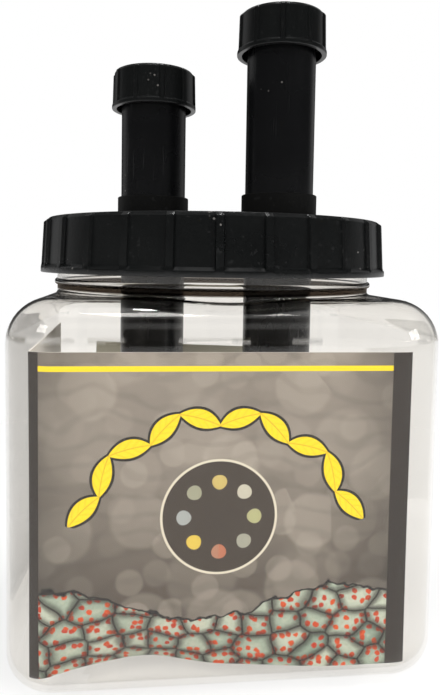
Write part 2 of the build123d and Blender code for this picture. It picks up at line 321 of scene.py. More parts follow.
def blackPlastic(name, colour, rough, gloss, grain, dust=0.0, brushed=False):
    # moulded black plastic: a fine grain, rubbed patches, hairline scratches and a little dust
    pad = newPad(name)
    where = pad.place()
    cloud = pad.noise(where, 38, 4)
    fine = pad.noise(where, 900, 2)
    stretched = pad.vector("MULTIPLY", where, (1, 1, 0.06) if brushed else (1, 0.12, 1))
    scratch = pad.ease(pad.noise(stretched, 700, 2), 0.64, 0.72)
    speck = pad.cells(where, 420)
    keep = pad.ease(pad.noise(where, 60, 2), 0.66, 0.7)
    dots = pad.fall(speck["Distance"], 0.1, 0.2) * keep
    base = pad.mix(cloud, tuple(0.75 * c for c in colour), tuple(1.3 * c for c in colour))
    base = pad.mix(scratch * 0.12, base, (0.05, 0.05, 0.05))
    base = pad.mix(dots * dust, base, (0.3, 0.28, 0.26))
    roughness = rough + (cloud - 0.5) * 0.18 + scratch * 0.08 + dots * 0.3
    return pad.surface(base, roughness, pad.bump(fine, grain, 0.00015), gloss)


lidBlack = blackPlastic("lidBlack", (0.0030, 0.0034, 0.0034), 0.30, 0.42, 0.3, dust=0.4)
capBlack = blackPlastic("capBlack", (0.0030, 0.0034, 0.0034), 0.30, 0.40, 0.3, dust=0.3)
tubeBlack = blackPlastic("tubeBlack", (0.0028, 0.0029, 0.0032), 0.27, 0.36, 0.2, dust=0.25, brushed=True)
guideBlack = blackPlastic("guideBlack", (0.0034, 0.0034, 0.0032), 0.55, 0.2, 0.5, dust=0.2)


def softSeal(name, light, dark, grain):
    # a soft closed-cell foam or rubber: small pores with painted shade in them, and a faint mottle
    pad = newPad(name)
    where = pad.place()
    pores = pad.cells(where, grain)
    pit = pad.ease(pores["Distance"], 0.1, 0.45)
    base = pad.mix(pad.noise(where, 60, 3), dark, light)
    # painted shade: the middles of the pores are darkened
    base = pad.mix((1 - pit) * 0.35, base, tuple(0.6 * c for c in dark))
    roughness = 0.62 + pad.noise(where, 150, 2) * 0.25
    return pad.surface(base, roughness, pad.bump(pit, 0.4, 0.0002), 0.25)


foamSeal = softSeal("foamSeal", (0.72, 0.72, 0.68), (0.58, 0.57, 0.53), 1400)
capSeal = softSeal("capSeal", (0.75, 0.75, 0.71), (0.62, 0.61, 0.57), 1800)
ringRubber = softSeal("ringRubber", (0.022, 0.022, 0.022), (0.012, 0.012, 0.012), 2400)

dress("lid_gasket", foamSeal)
for side in ("left", "right"):
    dress(f"cap_liner_{side}", capSeal)
    dress(f"grip_ring_{side}", ringRubber)
    dress(f"tube_{side}", tubeBlack)

print("scene: seals and tubes dressed")

# screw lid and tube caps

lidSpec = {
    "radius": 65.0, "height": 19.6, "chamfer": 1.3, "crown": 3.0, "flange": 1.9, "ledge": 1.2, "taper": 0.85,
    "bore": 61.4, "roof": 2.0, "ribCount": 27, "ribWidth": 2.7, "ribAngle": -0.4, "setback": 0.25,
    "panelDepth": 1.1, "softEdge": 0.28, "flank": 0.22, "panelSteps": 8,
}
lidBottom = 126.0
lidTop = 145.6
rimWidth = 5.6
topRecess = 0.6
roofLow = lidTop - lidSpec["roof"]
gasketThick = 1.2
ventSpec = {"spread": 34.0, "hole": 1.5, "pitch": 4.6, "holePoints": 24}
threadSpec = {"height": 1.8, "root": 2.4, "crest": 1.2, "lead": 5.0, "turns": 1.25}
capSpec = {
    "radius": 16.55, "height": 14.5, "chamfer": 1.0, "crown": 1.55, "flange": 1.5, "ledge": 0.5, "taper": 0.3,
    "bore": 14.75, "roof": 1.6, "ribCount": 10, "ribWidth": 1.7, "ribAngle": 0.0, "setback": 0.05,
    "panelDepth": 0.6, "softEdge": 0.22, "flank": 0.2, "panelSteps": 12,
}
capThread = {"height": 1.3, "root": 1.8, "crest": 0.8, "lead": 3.0, "turns": 1.25}
# where the threads start below a rim, where two ridges meet, and their slack
threadFit = {"start": 1.1, "lidReach": 1.2, "lidSlack": 0.35, "capReach": 1.025, "capSlack": 0.3}
capSides = {"left": {"mouth": 202.0, "ribAngle": 28.2}, "right": {"mouth": 218.6, "ribAngle": 7.8}}
linerThick = 1.0


def ribAngles(spec):
    # angles round a ribbed skirt, close together where a rib's flanks rise; and how far up a rib each stands
    half, e = spec["ribWidth"] / 2, spec["flank"]
    pitch = 2 * np.pi * spec["radius"] / spec["ribCount"]
    flank = np.array([-1.0, -0.5, 0.0, 0.5, 1.0]) * e
    panel = np.linspace(half + e, pitch - half - e, spec["panelSteps"] + 2)[1:-1]
    place = np.concatenate([-half + flank, [0.0], half + flank, panel])
    climb = [0, 0.16, 0.5, 0.84, 1.0]
    height = np.concatenate([climb, [1.0], climb[::-1], 0 * panel])
    starts = math.radians(spec["ribAngle"]) + evenAngles(spec["ribCount"])
    return (starts[:, None] + place / spec["radius"]).ravel(), np.tile(height, spec["ribCount"])


def skirtPath(spec, inset, inside):
    # the skirt's section from its roof's inner side, over the top and the chamfer, down and up the bore
    foot = spec["radius"] - inset
    head = foot - spec["taper"]
    corners = inside["top"] + [
        (spec["radius"] - spec["crown"], spec["height"]), (head, spec["height"] - spec["chamfer"]),
        (foot, spec["flange"] + spec["ledge"]), (spec["radius"], spec["flange"]),
        (spec["radius"], 0), (spec["bore"], 0)] + inside["under"]
    cuts = inside["topCuts"] + [spec["softEdge"]] * 2 + [0.3, 0.35, 0.35, 0.25] + inside["underCuts"]
    return softPath(corners, cuts, closed=inside["closed"])


def ribbedShell(spec, inside, base, centre=(0, 0)):
    # each point is panel + rise(angle) (rib - panel), so that a rib stands out of the panel's outline
    angles, rise = ribAngles(spec)
    panel = skirtPath(spec, spec["setback"] + spec["panelDepth"], inside)
    rib = skirtPath(spec, spec["setback"], inside)
    section = panel[:, None] + rise[:, None] * (rib - panel)[:, None]
    points = polar(section[..., 0], angles, section[..., 1] + base, centre)
    return closedGrid(points, inside["closed"])


def meanWidth(thread, reach):
    # how wide a ridge is at a reach above its root
    return thread["root"] - (thread["root"] - thread["crest"]) * reach / thread["height"]


def threadDepth(thread):
    # from a rim down to the lower end of its thread
    return threadFit["start"] + thread["root"] / 2 + thread["lead"] * thread["turns"]


def roofPlate(name, radius, low, high, holes, bevel=0.12):
    # a round plate with round holes, from one flat filled curve, made a mesh before it is placed
    curve = bpy.data.curves.new(name, "CURVE")
    curve.dimensions = "2D"
    curve.fill_mode = "BOTH"
    curve.extrude = ((high - low) / 2 - bevel) * mm
    curve.bevel_depth = bevel * mm
    curve.bevel_resolution = 2
    curve.offset = -bevel * mm
    for x, y, r, count in [(0, 0, radius, 180)] + holes:
        spline = curve.splines.new("POLY")
        a = evenAngles(count)
        ring = np.column_stack([polar(r, a, 0, (x, y)) * mm, 1 + 0 * a])
        spline.points.add(count - 1)
        spline.points.foreach_set("co", ring.ravel())
        spline.use_cyclic_u = True
    flat = bpy.data.objects.new(name, curve)
    mesh = bpy.data.meshes.new_from_object(flat)
    bpy.data.objects.remove(flat)
    mesh.transform(Matrix.Translation((0, 0, (low + high) / 2 * mm)))
    return mesh


def shellOf(mesh):
    # the points, in mm, and faces of a mesh as a shell, its doubles merged
    work = bmesh.new()
    work.from_mesh(mesh)
    bmesh.ops.remove_doubles(work, verts=work.verts, dist=0.00001)
    bmesh.ops.recalc_face_normals(work, faces=work.faces)
    bmesh.ops.triangulate(work, faces=work.faces)
    points = np.array([v.co[:] for v in work.verts]) / mm
    faces = np.array([[v.index for v in f.verts] for f in work.faces])
    work.free()
    return points, outward(points, [faces])


tubeTurn, tubeSpread = -25.2, 25.9
guideSpec = {"bore": 12.75, "radius": 14.03, "flange": 17.53, "boss": 16.2, "groove": 2.4,
             "sleeve": 10, "flangeThick": 2.8, "lip": 1.8}
rightPlace = placeOf(tubeTurn, tubeSpread)
leftPlace = placeOf(tubeTurn + 180, tubeSpread)
ventPlaces = [placeOf(tubeTurn + turn, ventSpec["spread"]) for turn in (90, -90)]

rimInner = lidSpec["radius"] - lidSpec["crown"] - rimWidth
lidUnder = lidSpec["height"] - lidSpec["roof"]
lidInside = {
    "closed": True,
    "top": [(lidSpec["bore"], lidUnder), (rimInner, lidUnder), (rimInner, lidSpec["height"])],
    "topCuts": [0.3, 0.02, 0.25], "under": [], "underCuts": [],
}
holes = [(*place, guideSpec["radius"] + 0.03, 96) for place in (leftPlace, rightPlace)]
for ventX, ventY in ventPlaces:
    for ring, count in ((0, 1), (1, 6), (2, 12)):
        reach = ring * ventSpec["pitch"]
        for turn in evenAngles(count):
            place = ventX + reach * math.cos(turn), ventY + reach * math.sin(turn)
            holes.append((*place, ventSpec["hole"], ventSpec["holePoints"]))
plate = roofPlate("lidRoof", rimInner + 0.3, roofLow + 0.005, lidTop - topRecess, holes)

neckTop = roofLow - gasketThick
neckThreadBottom = neckTop - threadDepth(threadSpec)
lidThreadBottom = neckThreadBottom - meanWidth(threadSpec, threadFit["lidReach"]) - threadFit["lidSlack"]
lidShells = [
    ribbedShell(lidSpec, lidInside, lidBottom),
    shellOf(plate),
    threadRidge(lidSpec["bore"], bottom=lidThreadBottom, side=-1, **threadSpec),
]
makePiece("screwLid", lidShells, "lid_body", lidBlack, ["lid"])

capTop, capUnder, capDish = capSpec["height"], capSpec["height"] - capSpec["roof"], 0.3
capInside = {
    "closed": False,
    "top": [(0, capTop - capDish), (12.6, capTop - capDish), (12.9, capTop)], "topCuts": [0, 0.3, 0.25],
    "under": [(capSpec["bore"], capUnder), (0, capUnder)], "underCuts": [0.4, 0],
}
mouthLevel = capSpec["height"] - capSpec["roof"] - linerThick
capSlack = meanWidth(capThread, threadFit["capReach"]) + threadFit["capSlack"]
capThreadBottom = mouthLevel - threadDepth(capThread) - capSlack
for side, place in (("left", leftPlace), ("right", rightPlace)):
    base = capSides[side]["mouth"] - mouthLevel
    spec = dict(capSpec, ribAngle=capSides[side]["ribAngle"])
    shells = [
        ribbedShell(spec, capInside, base, place),
        threadRidge(capSpec["bore"], bottom=base + capThreadBottom, side=-1, centre=place, **capThread),
    ]
    makePiece(f"tubeCap_{side}", shells, f"cap_{side}_body", capBlack, [f"cap_{side}"])

print("scene: lid and caps made")

# guides


def guidePath(spec):
    # the closed section of a guide, from its sleeve's top down its outside and up its bore
    bore, radius, flange, boss, groove = (spec[key] for key in ("bore", "radius", "flange", "boss", "groove"))
    top, roof, under = lidTop + spec["sleeve"], roofLow, roofLow - spec["flangeThick"]
    grooveHigh = under - spec["lip"]
    grooveLow = grooveHigh - groove
    foot = grooveLow - spec["lip"]
    corners = [
        (bore, top), (radius, top), (radius, roof), (flange, roof), (flange, under), (boss, under),
        (boss, foot), (bore, foot), (bore, grooveLow), (bore + groove, grooveLow),
        (bore + groove, grooveHigh), (bore, grooveHigh)]
    cuts = [0.3, 0.5, 0.05, 0.05, 0.4, 0.4, 0.5, 0.3, 0.1, 0.2, 0.2, 0.1]
    return softPath(corners, cuts, closed=True)


for side, place in (("left", leftPlace), ("right", rightPlace)):
    shells = [closedGrid(turned(guidePath(guideSpec), evenAngles(128), place), joined=True)]
    makePiece(f"tubeGuide_{side}", shells, "lid_body", guideBlack, [f"tube_guide_{side}"])

print("scene: guides made")

# woven gauze under the vents

gauzeSpec = {"radius": 13.0, "pitch": 0.95, "wire": 0.1, "wave": 0.095,
             "low": 143.2, "thick": 0.4, "rim": 0.55}


def gauzeWires(spec, centre, turn):
    # each wire is z = middle +- wave cos(pi s / pitch), over and under the crossing wires
    shells = []
    radius, pitch, wire, wave, low = (spec[key] for key in ("radius", "pitch", "wire", "wave", "low"))
    high, middle = low + spec["thick"], low + spec["thick"] / 2
    count = int(radius / pitch)
    around = evenAngles(6)
    ca, sa = math.cos(turn), math.sin(turn)
    for across in (0, 1):
        for k in range(-count, count + 1):
            offset = k * pitch
            reach = math.sqrt(max((radius - 0.25) ** 2 - offset ** 2, 0))
            if reach < 1:
                continue
            s = np.linspace(-reach, reach, 2 * int(reach / pitch * 2) + 3)
            phase, height = np.pi * s / pitch, (-1) ** (k + across) * wave
            z = middle + height * np.cos(phase)
            slope = -height * np.pi / pitch * np.sin(phase)
            size = np.sqrt(1 + slope ** 2)
            along = s[:, None] - (slope / size)[:, None] * wire * np.sin(around)
            up = z[:, None] + wire * np.sin(around) / size[:, None]
            side = offset + wire * np.cos(around) + 0 * along
            u, v = (along, side) if across == 0 else (side, along)
            points = np.stack([centre[0] + u * ca - v * sa, centre[1] + u * sa + v * ca, up], -1)
            shells.append(closedGrid(points))
    rimInside = radius - spec["rim"]
    rim = [(rimInside, low), (radius, low), (radius, high), (rimInside, high)]
    path = softPath(rim, 0.15, steps=2, closed=True)
    shells.append(closedGrid(turned(path, evenAngles(96), centre), joined=True))
    return shells


def steelWire():
    # drawn steel wire: long fine draw marks and a slightly uneven shine
    pad = newPad("steelWire")
    where = pad.place()
    tone = pad.noise(where, 500, 3)
    base = pad.mix(tone, (0.36, 0.36, 0.35), (0.62, 0.62, 0.6))
    drawn = pad.bump(pad.noise(where, 2500, 2), 0.15, 0.0001)
    return pad.surface(base, 0.28 + tone * 0.2, drawn, metal=1.0)


steel = steelWire()
for name, place, turn in (("rear", ventPlaces[0], 0.4), ("front", ventPlaces[1], 1.1)):
    shells = gauzeWires(gauzeSpec, place, turn)
    makePiece(f"ventGauze_{name}", shells, "lid_body", steel, [f"vent_gauze_{name}"], sharp=80)

print("scene: gauze woven")

# clear jar

jarSpec = {
    "half": 67.5, "corner": 16.0, "wall": 0.8, "heel": 11.0, "shoulder": 14.0, "top": 119.5,
    "floor": 2.0, "archWidth": 84.0, "archHeight": 1.0, "puntRadius": 30.0, "puntHeight": 2.5,
    "neck": 59.0, "neckWall": 1.4, "neckTop": neckTop, "soft": 1.2,
    "bead": 122.7, "beadHalf": 1.1, "beadReach": 1.0, "wave": 0.1, "neckFoot": 121.3, "rimSoft": 0.35,
}


def squareRound(half, corner, flatCols=36, cornerCols=24):
    # points and outward directions round a square with round corners
    flat = half - corner
    t = np.linspace(-flat, flat, flatCols, endpoint=False)
    side = np.stack([t, np.full_like(t, -half)], -1)
    a = np.linspace(-np.pi / 2, 0, cornerCols, endpoint=False)
    bend = np.column_stack([np.cos(a), np.sin(a)])
    points = np.vstack([side, (flat, -flat) + corner * bend])
    facing = np.vstack([np.tile([0.0, -1.0], (flatCols, 1)), bend])
    quarter = np.array([[0.0, -1.0], [1.0, 0.0]])
    turns = [np.linalg.matrix_power(quarter, k).T for k in range(4)]
    return np.vstack([points @ q for q in turns]), np.vstack([facing @ q for q in turns])


def archOver(spec, x, y):
    # the arches under the four sides: height (1 - (x / half width)^2), and the same for y
    half = spec["archWidth"] / 2
    along = np.maximum(1 - (x / half) ** 2, 1 - (y / half) ** 2)
    return spec["archHeight"] * np.clip(along, 0, 1)


def domeOver(spec, x, y):
    # the punt's dome: height (1 - (r / radius)^2)
    r2 = (x ** 2 + y ** 2) / spec["puntRadius"] ** 2
    return spec["puntHeight"] * np.clip(1 - r2, 0, 1)


def jarSkin(spec, inset, neckRadius, bottom, lift):
    # one side of the jar's wall, from the middle of its base up to the foot of its neck
    half, corner = spec["half"] - inset, spec["corner"] - inset
    heel, shoulder, top = spec["heel"] - inset, spec["shoulder"] - inset, spec["top"] - inset
    edge, facing = squareRound(half, corner)
    rings = []
    inner = edge - facing * heel
    for t in np.concatenate([np.linspace(0.06, 0.46, 8), np.linspace(0.52, 1, 7)]):
        xy = inner * t
        rings.append(np.column_stack([xy, bottom(*xy.T)]))
    for a in np.linspace(0, np.pi / 2, 13)[1:]:
        xy = edge - facing * heel * (1 - math.sin(a))
        z = lift + heel * (1 - math.cos(a))
        rings.append(np.column_stack([xy, np.maximum(z, bottom(*xy.T))]))
    for z in np.linspace(lift + heel, top - shoulder, 26)[1:]:
        rings.append(np.column_stack([edge, np.full(len(edge), z)]))
    # the way up the shoulder ends at the neck's soft foot: |edge - facing d| = reach
    reach = neckRadius + spec["soft"]
    along = np.einsum("ij,ij->i", edge, facing)
    inside = np.maximum(along ** 2 - (edge ** 2).sum(1) + reach ** 2, 0)
    met = along - np.sqrt(inside)
    deep = np.where(inside > 0, np.clip(met, 0, shoulder), shoulder)
    bend = np.arccos(1 - deep / shoulder)
    end = edge - facing * deep[:, None]
    rest = np.maximum(np.linalg.norm(end, axis=1) - reach, 0)
    arc = shoulder * bend
    for s in np.linspace(0, 1, 19)[1:]:
        way = s * (arc + rest)
        turn = np.minimum(way, arc) / shoulder
        xy = edge - facing * (shoulder * (1 - np.cos(turn)))[:, None]
        z = top - shoulder + shoulder * np.sin(turn)
        over = np.maximum(way - arc, 0)
        size = np.linalg.norm(xy, axis=1)
        xy = xy * ((size - over) / size)[:, None]
        rings.append(np.column_stack([xy, z]))
    # a small hollow curve leads from the shoulder into the neck
    angle = np.arctan2(rings[-1][:, 1], rings[-1][:, 0])
    slope = np.where(rest > 0.01, 0, np.cos(bend) / np.maximum(np.sin(bend), 0.2))
    foot = rings[-1][:, 2]
    for t in np.linspace(0, 1, 6)[1:]:
        r = reach * (1 - t) ** 2 + neckRadius * (2 * t * (1 - t) + t ** 2)
        bendZ = foot + slope * spec["soft"]
        z = foot * (1 - t) ** 2 + bendZ * 2 * t * (1 - t) + (bendZ + spec["soft"] * 0.7) * t ** 2
        rings.append(polar(r, angle, z))
    return rings, angle


def neckRings(start, angle, radius, shape, levels):
    # rings up the neck, r = radius + shape(angle, z), from its soft foot to each level
    heights = [np.maximum(float(level), start) for level in levels]
    return [polar(radius + shape(angle, z), angle, z) for z in heights]


def beadAndThread(spec):
    # the bead is reach sqrt(1 - (dz / half)^2); the thread is a ridge of slanting flanks on a helix
    t = threadSpec

    def shape(angle, z):
        bead = spec["beadReach"] * np.sqrt(np.clip(1 - ((z - spec["bead"]) / spec["beadHalf"]) ** 2, 0, 1))
        ridge = 0 * z
        for k in (0, 1):
            turn = (angle % (2 * np.pi)) / (2 * np.pi) + k
            off = np.abs(z - neckThreadBottom - t["lead"] * turn)
            flank = np.clip((t["root"] / 2 - off) / ((t["root"] - t["crest"]) / 2), 0, 1)
            grow = np.clip(np.minimum(turn, t["turns"] - turn) / 0.035, 0, 1)
            ridge = np.maximum(ridge, t["height"] * flank * grow * grow * (3 - 2 * grow))
        return bead + ridge

    return shape


def blownWaves(spec, points):
    # the blown wall isn't quite flat: slow waves, inwards only, that fade out towards heel and shoulder
    x, y, z = points[..., 0], points[..., 1], points[..., 2]
    around = np.arctan2(y, x)
    wave = (np.sin(3 * around + z / 17) + np.sin(7 * around - z / 23 + 1.3) + np.sin(z / 9 + 2 * around)) / 3
    fade = np.clip((z - 14) / 18, 0, 1) * np.clip((104 - z) / 18, 0, 1)
    size = np.maximum(np.linalg.norm(points[..., :2], axis=-1), 1e-6)
    inwards = spec["wave"] * (0.5 + 0.5 * wave) * fade / size
    moved = points.copy()
    moved[..., 0] -= x * inwards
    moved[..., 1] -= y * inwards
    return moved


def jarShell(spec):
    # the outer skin, the rim and the inner skin as one closed wall
    def under(x, y):
        return np.maximum(archOver(spec, x, y), np.where(x ** 2 + y ** 2 < spec["puntRadius"] ** 2,
                          spec["archHeight"] + domeOver(spec, x, y), 0))

    def above(x, y):
        return spec["floor"] + domeOver(spec, x, y)

    outer, angle = jarSkin(spec, 0.0, spec["neck"], under, 0.0)
    bore = spec["neck"] - spec["neckWall"]
    inner, innerAngle = jarSkin(spec, spec["wall"], bore, above, spec["floor"])
    bead = spec["bead"] + spec["beadHalf"] * np.sin(np.linspace(-np.pi / 2, np.pi / 2, 13))
    start = outer[-1][:, 2]
    plain, threaded = np.linspace(125.2, 131.6, 4), np.arange(132.2, spec["neckTop"] - 0.4, 0.3)
    levels = np.concatenate([[spec["neckFoot"]], bead, plain, threaded])
    up = neckRings(start, angle, spec["neck"], beadAndThread(spec), levels)
    rim, quarter = [], np.linspace(0, np.pi / 2, 5)
    sides = (spec["neck"], -1, angle, quarter), (bore, 1, innerAngle, quarter[::-1])
    for edge, side, around, turns in sides:
        for turn in turns:
            r = edge + side * spec["rimSoft"] * (1 - math.cos(turn))
            rim.append(polar(r, around, spec["neckTop"] - spec["rimSoft"] * (1 - math.sin(turn))))
    levels = [138, 130, 125, 122.5, spec["neckFoot"]]
    down = neckRings(inner[-1][:, 2], innerAngle, bore, lambda a, z: 0 * z, levels)
    return closedGrid(blownWaves(spec, np.array(outer + up + rim + down + inner[::-1])))


# heights in metres at which the plastic changes, and its tints; the ring's dark tint is a painted reflection
# of the black lid
plasticSpec = {"tint": (0.975, 0.967, 0.953), "ringTint": (0.2, 0.17, 0.14), "ior": 1.5,
               "ringStart": (0.1197, 0.1205), "ringEnd": (0.1221, 0.1229), "bentStart": (0.1062, 0.1092)}


def clearPlastic(spec):
    # clear blown plastic: the thin walls mirror and tint, and the shoulder and neck bend light as well;
    # the ring below the thread gets a darker tint, a painted reflection of the black lid
    pad = newPad("clearPlastic")
    where = pad.place()
    height = pad.split(where)["Z"]
    haze = pad.bump(pad.noise(where, 30, 3), 0.03, 0.0006)
    lightPath = pad.add("LightPath")
    through = pad.maths("MAXIMUM", lightPath["Is Shadow Ray"], lightPath["Is Diffuse Ray"])
    # painted reflection: a dark band on the ring below the thread stands for the black lid mirrored there
    ring = pad.ease(height, *spec["ringStart"]) * pad.fall(height, *spec["ringEnd"])
    tintAndPaintedReflection = pad.mix(ring, spec["tint"], spec["ringTint"])
    inputs = {"Color": tintAndPaintedReflection, "Roughness": 0.0, "IOR": spec["ior"], "Normal": haze}
    glass = pad.add("BsdfGlass", inputs, distribution="GGX")["BSDF"]
    clear = pad.add("BsdfTransparent", {"Color": spec["tint"]})["BSDF"]
    mirror = pad.add("BsdfAnisotropic", {"Color": (1, 1, 1), "Roughness": 0.05, "Normal": haze})["BSDF"]
    slant = pad.add("LayerWeight", {"Blend": 0.5})["Facing"]
    share = 0.02 + pad.maths("POWER", slant, 5.0) * 0.8
    wall = pad.blend(share, clear, mirror)
    body = pad.blend(pad.ease(height, *spec["bentStart"]), wall, glass)
    return pad.finish(pad.blend(through, body, clear))


jarPlastic = clearPlastic(plasticSpec)
makePiece("clearJar", [jarShell(jarSpec)], "jar_body", jarPlastic, ["jar"], sharp=50)
print("scene: jar blown")

# printed card and leaflet, as thin sheets

cardSpec = {"thick": 0.4, "gap": 2.0, "height": 97.3, "leftWrap": 34.0, "rightWrap": 15.8,
            "flap": 95.0, "lean": 4.0, "bow": 0.4, "rest": 0.5, "wave": 0.35, "footRise": 27.0}
flapPoints = 60
# how far the front panel's foot stands back from the wall, at distances from its left fold
footBow = ((-3, 0.0), (3, 0.3), (13, 5.2), (23, 8.4), (31, 10.4), (38, 10.4), (47, 7.2), (55, 4.6),
           (68, 2.9), (86, 0.4), (96, 0.0))


def heelLevel(distance):
    # how high the inner heel is at a distance from the wall: floor + r - sqrt(r^2 - (r - distance)^2)
    inner = jarSpec["heel"] - jarSpec["wall"]
    reach = max(0, inner - distance)
    return jarSpec["floor"] + inner - math.sqrt(inner ** 2 - reach ** 2)


def arcPoints(a, middle, b, count):
    # the arc through three points: its centre c has 2 (p - a) . c = p . p - a . a for both others p
    a, middle, b = np.array([a, middle, b])
    others = np.array([middle, b])
    centre = np.linalg.solve(2 * (others - a), (others ** 2).sum(1) - a @ a)
    start, end = (math.atan2(*(point - centre)[::-1]) for point in (a, b))
    end += 2 * math.pi * round((start - end) / (2 * math.pi))
    t = np.linspace(start, end, count)
    return centre + np.linalg.norm(a - centre) * np.column_stack([np.cos(t), np.sin(t)])


def cardLine(spec):
    # the card's line seen from above, from its left rear end round both front corners
    flat = jarSpec["half"] - jarSpec["corner"]
    bend = jarSpec["corner"] - jarSpec["wall"] - spec["gap"]

    def cornerPoint(side, wrap):
        turn = math.radians(wrap)
        return side * (flat + bend * math.sin(turn)), -flat - bend * math.cos(turn)

    fold = cornerPoint(-1, spec["leftWrap"])
    rear = (fold[0] - spec["lean"], fold[1] + spec["flap"])
    bowed = (fold[0] - spec["lean"] / 2 + spec["bow"], fold[1] + spec["flap"] / 2)
    flap = arcPoints(rear, bowed, fold, flapPoints)
    left = arcPoints(fold, cornerPoint(-1, spec["leftWrap"] / 2), cornerPoint(-1, 0), 10)
    a, b = cornerPoint(-1, 0), cornerPoint(1, 0)
    front = np.column_stack([np.linspace(a[0], b[0], 70), np.full(70, a[1])])
    right = arcPoints(b, cornerPoint(1, spec["rightWrap"] / 2), cornerPoint(1, spec["rightWrap"]), 6)
    return np.vstack([flap, left[1:], front[1:], right[1:]])


def sheetShell(line, low, high, thick, rows, sway):
    # a thin sheet stood on a line: line +- thick / 2 along its normal, plus a slow sway(s, z) along it
    step = np.gradient(line, axis=0)
    step /= np.linalg.norm(step, axis=1)[:, None]
    normal = np.column_stack([step[:, 1], -step[:, 0]])
    run = np.concatenate([[0], np.cumsum(np.linalg.norm(np.diff(line, axis=0), axis=1))])
    z = np.linspace(low, high, rows)
    s, zz = np.meshgrid(run, z, indexing="ij")
    shift = sway(s, zz)
    faces = []
    for side in (1, -1):
        xy = line[:, None, :] + normal[:, None, :] * (shift + side * thick / 2)[..., None]
        faces.append(np.dstack([xy, zz[..., None]]))
    return faces, s, zz


def makeSheet(name, faces, s, z, materials, stands):
    # the two faces of a sheet and its edge strip, with a map in units of 100 mm on its own uv layer
    front, back = faces
    cols, rows, _ = front.shape
    flat = np.vstack([front.reshape(-1, 3), back.reshape(-1, 3)])
    quads = gridFaces(cols, rows, wrapCols=False)
    n = cols * rows
    index = np.arange(n).reshape(cols, rows)
    loop = np.concatenate([index[:, 0], index[-1, 1:], index[-2::-1, -1], index[0, -2:0:-1]])
    edge = np.column_stack([loop, np.roll(loop, -1), np.roll(loop, -1) + n, loop + n])
    allFaces = outward(flat, [np.vstack([quads[:, ::-1], quads + n, edge])])[0]
    mesh = newMesh(name, flat, allFaces.tolist(), materials, 40)
    slots = np.ones(len(allFaces), np.int32)
    slots[:len(quads)] = 0
    mesh.polygons.foreach_set("material_index", slots)
    layer = mesh.uv_layers.new(name="printMap")
    corner = np.zeros(len(mesh.loops), np.int32)
    mesh.loops.foreach_get("vertex_index", corner)
    uv = np.tile(np.column_stack([s.ravel(), z.ravel()]) / 100, (2, 1))[corner]
    layer.data.foreach_set("uv", uv.astype(np.float32).ravel())
    enter(name, mesh, "jar_body", stands)


def plainBoard(name, light, dark):
    # the unprinted side of grey board: fibres and a soft mottle
    pad = newPad(name)
    where = pad.place()
    fibres = pad.noise(pad.vector("MULTIPLY", where, (1, 1, 0.25)), 900, 4)
    base = pad.mix(pad.noise(where, 40, 4) * 0.6 + fibres * 0.4, dark, light)
    return pad.surface(base, 0.8 + fibres * 0.1, pad.bump(fibres, 0.15, 0.0002), 0.2)


board = plainBoard("greyBoard", "F0ECE5", "DDD8D0")
printSpec = {
    "skyTop": "938A80", "skyLow": "40372E", "pale": "B2A99D", "yellow": "F2D20F", "vein": "B98F10",
    "outline": "17130F", "panel": "3B3229", "border": "D2CBB8", "stripe": "2B241E", "shade": "23211B",
    "stone": "8FA391", "stonePale": "C9D0BD", "stoneGap": "211C16", "spot": "D0521A", "spotRed": "AE3214",
    "stripeStart": 108.4, "marginEnd": 3.2, "archX": 56.0, "archY": 42.0, "archRadius": 43.0,
    "discY": 55.0, "discRadius": 17.5, "dotCount": 8, "dotRing": 10.5, "ruleY": 99.4,
    "dots": ((0, "B9512A"), (0.25, "8FA08A"), (0.5, "D9B93A"), (0.75, "7C8C99"), (1, "C7BFA8")),
}


def printPlace(pad, start=0.0):
    # the distance along a sheet from start, the height, and both as a vector, in mm
    place = pad.split(pad.add("UVMap", uv_map="printMap")["UV"])
    u, v = place["X"] * 100 - start, place["Y"] * 100
    return u, v, pad.add("CombineXYZ", {"X": u, "Y": v, "Z": 0.0})["Vector"]


def turnedBy(pad, x, y, angle):
    # x and y read from axes turned by an angle
    c, s = pad.maths("COSINE", angle), pad.maths("SINE", angle)
    return x * c + y * s, y * c - x * s


def softDiscs(pad, at, scale, size):
    # pale round spots, one in each cell of a random net, each with its own strength
    net = pad.cells(at, scale, randomness=0.85, dims="2D")
    draw = pad.draws(net)
    return pad.fall(net["Distance"], size * 0.82, size) * draw["Red"]


def shaken(pad, at, cloud, size):
    # a place moved by a cloud's colour: at + cloud size
    return pad.vector("MULTIPLY_ADD", cloud, (size, size, size), at)


def pebbles(pad, at, tint):
    # round stones from a net of cells, with small spots; gives their colour
    spread = shaken(pad, pad.vector("MULTIPLY", at, (1, 1.35, 1)), pad.noise(at, 0.09, 1, "Color"), 5.0)
    edge = pad.cells(spread, 0.105, feature="DISTANCE_TO_EDGE", randomness=0.75, dims="2D")["Distance"]
    stone = pad.cells(spread, 0.105, randomness=0.75, dims="2D")
    draw = pad.draws(stone)
    body = pad.mix(draw["Red"], tint["stone"], tint["stonePale"])
    body = pad.mix(pad.noise(at, 0.9, 3) * 0.4, body, tint["panel"])
    dots = pad.cells(shaken(pad, at, pad.noise(at, 0.5, 2, "Color"), 1.6), 0.4, randomness=0.9, dims="2D")
    pick = pad.draws(dots)
    spots = pad.fall(dots["Distance"], 0.3, 0.4) * (pick["Red"] > 0.3)
    body = pad.mix(spots, body, pad.mix(pick["Green"], tint["spot"], tint["spotRed"]))
    body = pad.mix(pad.fall(edge, 0.04, 0.3) * 0.75, body, tint["stoneGap"])
    body = pad.mix(pad.fall(edge, 0.01, 0.05), body, tint["stoneGap"])
    return pad.mix(pad.ease(edge, 0.3, 0.5) * (1 - spots) * 0.3, body, tint["border"])


